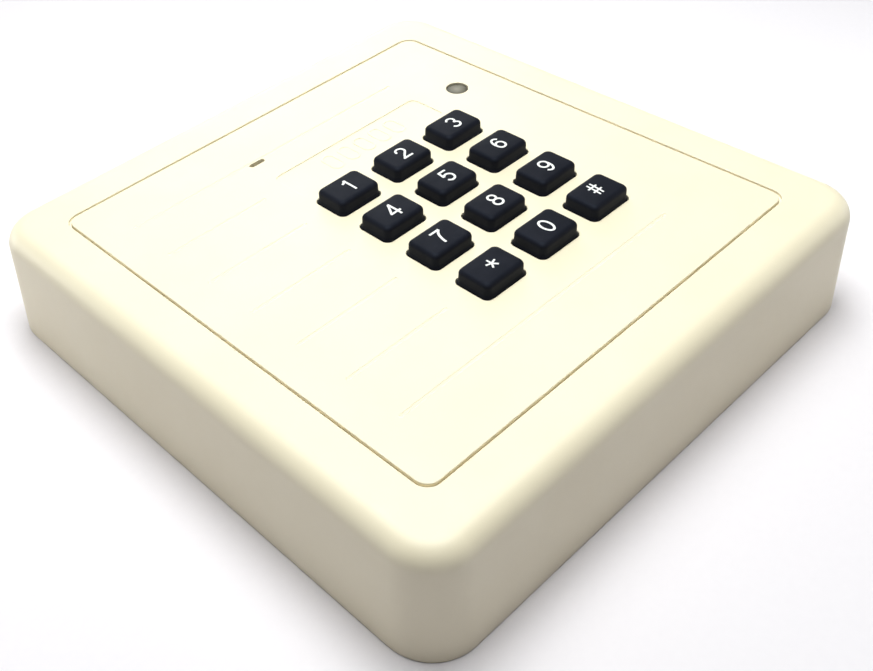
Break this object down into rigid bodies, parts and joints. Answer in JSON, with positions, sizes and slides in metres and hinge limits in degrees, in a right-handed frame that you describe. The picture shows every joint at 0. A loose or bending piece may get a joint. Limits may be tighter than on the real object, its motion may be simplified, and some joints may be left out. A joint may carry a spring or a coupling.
{
  "type": "keypad access reader",
  "caption": "Square cream wall reader for access control with a telephone-style rubber keypad, status lens and beeper slot on a lift-off front panel.",
  "frame": {"origin": "middle of the back, on the wall plane", "axes": "+X along a row of keys to the right, +Y up the face, +Z out of the face"},
  "size_m": [0.127, 0.127, 0.0284],
  "materials": {
    "housing_plastic": "fine moulded texture, cream",
    "steel": "zinc-plated screw",
    "seal_rubber": "closed-cell black seal",
    "bobbin_plastic": "natural nylon",
    "copper_wire": "enamelled copper winding",
    "circuit_board": "green solder mask",
    "chip_plastic": "black moulding compound",
    "crystal_can": "drawn metal can",
    "capacitor_sleeve": "dark blue sleeve",
    "film_capacitor": "dipped red-brown",
    "terminal_plastic": "green moulded",
    "connector_plastic": "black moulded",
    "switch_plastic": "red moulded",
    "slider_plastic": "white moulded",
    "tamper_plastic": "black moulded",
    "plunger_plastic": "red moulded",
    "key_rubber": "satin black silicone",
    "contact_carbon": "carbon-filled rubber",
    "contact_gold": "gold-plated contact",
    "beeper_plastic": "black moulded",
    "led_white": "white LED body",
    "lens_smoke": "smoke-grey translucent"
  },
  "bodies": {
    "housing": {"housing_shell": "housing_plastic", "back_plate": "housing_plastic", "back_plate_screws": "steel", "main_board_screws": "steel", "terminal_screws": "steel", "rear_seal": "seal_rubber", "coil_bobbin": "bobbin_plastic", "antenna_coil": "copper_wire", "main_board": "circuit_board", "microcontroller": "chip_plastic", "voltage_regulator": "chip_plastic", "small_components": "chip_plastic", "crystal": "crystal_can", "filter_capacitors": "capacitor_sleeve", "tuning_capacitors": "film_capacitor", "terminal_block": "terminal_plastic", "header_socket": "connector_plastic", "dip_switch_body": "switch_plastic", "tamper_switch_body": "tamper_plastic"},
    "panel": {"front_panel": "housing_plastic", "keypad_mat": "key_rubber", "keypad_board": "circuit_board", "keypad_contacts": "contact_gold", "panel_screws": "steel", "board_header": "connector_plastic", "beeper": "beeper_plastic", "status_led": "led_white", "status_lens": "lens_smoke"},
    "tamper_plunger": {"tamper_plunger": "plunger_plastic"},
    "dip_slider_1": {"dip_slider_1": "slider_plastic"},
    "dip_slider_2": {"dip_slider_2": "slider_plastic"},
    "dip_slider_3": {"dip_slider_3": "slider_plastic"},
    "dip_slider_4": {"dip_slider_4": "slider_plastic"},
    "key_1": {"key_1": "key_rubber", "contact_pill_1": "contact_carbon"},
    "key_2": {"key_2": "key_rubber", "contact_pill_2": "contact_carbon"},
    "key_3": {"key_3": "key_rubber", "contact_pill_3": "contact_carbon"},
    "key_4": {"key_4": "key_rubber", "contact_pill_4": "contact_carbon"},
    "key_5": {"key_5": "key_rubber", "contact_pill_5": "contact_carbon"},
    "key_6": {"key_6": "key_rubber", "contact_pill_6": "contact_carbon"},
    "key_7": {"key_7": "key_rubber", "contact_pill_7": "contact_carbon"},
    "key_8": {"key_8": "key_rubber", "contact_pill_8": "contact_carbon"},
    "key_9": {"key_9": "key_rubber", "contact_pill_9": "contact_carbon"},
    "key_star": {"key_star": "key_rubber", "contact_pill_star": "contact_carbon"},
    "key_0": {"key_0": "key_rubber", "contact_pill_0": "contact_carbon"},
    "key_hash": {"key_hash": "key_rubber", "contact_pill_hash": "contact_carbon"}
  },
  "joints": [
    {"name": "panel_lift", "type": "slide", "parent": "housing", "child": "panel", "axis": [0, 0, 1], "range_m": [0, 0.03]},
    {"name": "tamper_plunger_slide", "type": "slide", "parent": "housing", "child": "tamper_plunger", "axis": [0, 0, 1], "range_m": [0, 0.0015], "stiffness_N_per_m": 20, "springref_m": 0.0015},
    {"name": "key_1_press", "type": "slide", "parent": "panel", "child": "key_1", "axis": [0, 0, -1], "range_m": [0, 0.0009], "stiffness_N_per_m": 450},
    {"name": "key_2_press", "type": "slide", "parent": "panel", "child": "key_2", "axis": [0, 0, -1], "range_m": [0, 0.0009], "stiffness_N_per_m": 450},
    {"name": "key_3_press", "type": "slide", "parent": "panel", "child": "key_3", "axis": [0, 0, -1], "range_m": [0, 0.0009], "stiffness_N_per_m": 450},
    {"name": "key_4_press", "type": "slide", "parent": "panel", "child": "key_4", "axis": [0, 0, -1], "range_m": [0, 0.0009], "stiffness_N_per_m": 450},
    {"name": "key_5_press", "type": "slide", "parent": "panel", "child": "key_5", "axis": [0, 0, -1], "range_m": [0, 0.0009], "stiffness_N_per_m": 450},
    {"name": "key_6_press", "type": "slide", "parent": "panel", "child": "key_6", "axis": [0, 0, -1], "range_m": [0, 0.0009], "stiffness_N_per_m": 450},
    {"name": "key_7_press", "type": "slide", "parent": "panel", "child": "key_7", "axis": [0, 0, -1], "range_m": [0, 0.0009], "stiffness_N_per_m": 450},
    {"name": "key_8_press", "type": "slide", "parent": "panel", "child": "key_8", "axis": [0, 0, -1], "range_m": [0, 0.0009], "stiffness_N_per_m": 450},
    {"name": "key_9_press", "type": "slide", "parent": "panel", "child": "key_9", "axis": [0, 0, -1], "range_m": [0, 0.0009], "stiffness_N_per_m": 450},
    {"name": "key_star_press", "type": "slide", "parent": "panel", "child": "key_star", "axis": [0, 0, -1], "range_m": [0, 0.0009], "stiffness_N_per_m": 450},
    {"name": "key_0_press", "type": "slide", "parent": "panel", "child": "key_0", "axis": [0, 0, -1], "range_m": [0, 0.0009], "stiffness_N_per_m": 450},
    {"name": "key_hash_press", "type": "slide", "parent": "panel", "child": "key_hash", "axis": [0, 0, -1], "range_m": [0, 0.0009], "stiffness_N_per_m": 450},
    {"name": "dip_slider_1_slide", "type": "slide", "parent": "housing", "child": "dip_slider_1", "axis": [0, 1, 0], "range_m": [0, 0.001]},
    {"name": "dip_slider_2_slide", "type": "slide", "parent": "housing", "child": "dip_slider_2", "axis": [0, -1, 0], "range_m": [0, 0.001]},
    {"name": "dip_slider_3_slide", "type": "slide", "parent": "housing", "child": "dip_slider_3", "axis": [0, 1, 0], "range_m": [0, 0.001]},
    {"name": "dip_slider_4_slide", "type": "slide", "parent": "housing", "child": "dip_slider_4", "axis": [0, 1, 0], "range_m": [0, 0.001]}
  ],
  "couplings": [
    {"joint": "tamper_plunger_slide", "follows": "panel_lift", "ratio": 0.05}
  ]
}
